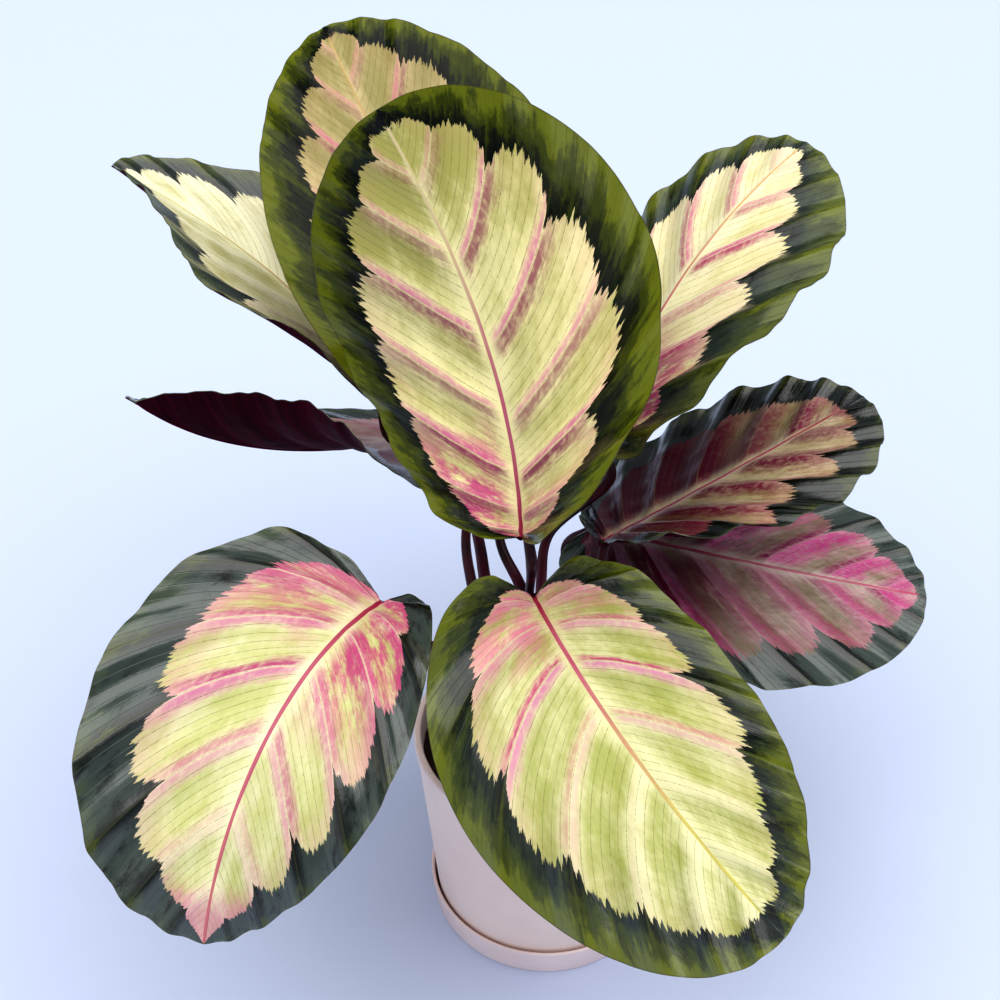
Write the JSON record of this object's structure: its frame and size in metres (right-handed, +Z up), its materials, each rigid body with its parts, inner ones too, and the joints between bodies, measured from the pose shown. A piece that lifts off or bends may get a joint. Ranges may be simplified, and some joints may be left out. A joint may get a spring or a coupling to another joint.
{
  "type": "potted calathea",
  "caption": "Potted prayer plant with broad wavy patterned leaves on dark stalks, filled with soil, in a plain tapered pot that stands on a low saucer.",
  "frame": {"origin": "centre of the saucer's flat underside, where the plant stands", "axes": "+Z is up along the pot's axis. The pictured front faces -Y, with +X to the viewer's right."},
  "size_m": [0.4336, 0.4275, 0.4448],
  "materials": {
    "pot_plastic": "matte pale dusty pink",
    "saucer_plastic": "matte dusty pink, a little darker than the pot",
    "potting_soil": null,
    "leaf_blade": null,
    "leaf_stalk": null
  },
  "bodies": {
    "root": {"saucer": "saucer_plastic", "pot": "pot_plastic", "soil": "potting_soil", "blade_centre": "leaf_blade", "blade_back_tall": "leaf_blade", "blade_left_high": "leaf_blade", "blade_left_middle": "leaf_blade", "blade_left_low": "leaf_blade", "blade_front_low": "leaf_blade", "blade_right_high": "leaf_blade", "blade_right_middle": "leaf_blade", "blade_right_low": "leaf_blade", "stalk_centre": "leaf_stalk", "stalk_back_tall": "leaf_stalk", "stalk_left_high": "leaf_stalk", "stalk_left_middle": "leaf_stalk", "stalk_left_low": "leaf_stalk", "stalk_front_low": "leaf_stalk", "stalk_right_high": "leaf_stalk", "stalk_right_middle": "leaf_stalk", "stalk_right_low": "leaf_stalk"}
  },
  "joints": []
}
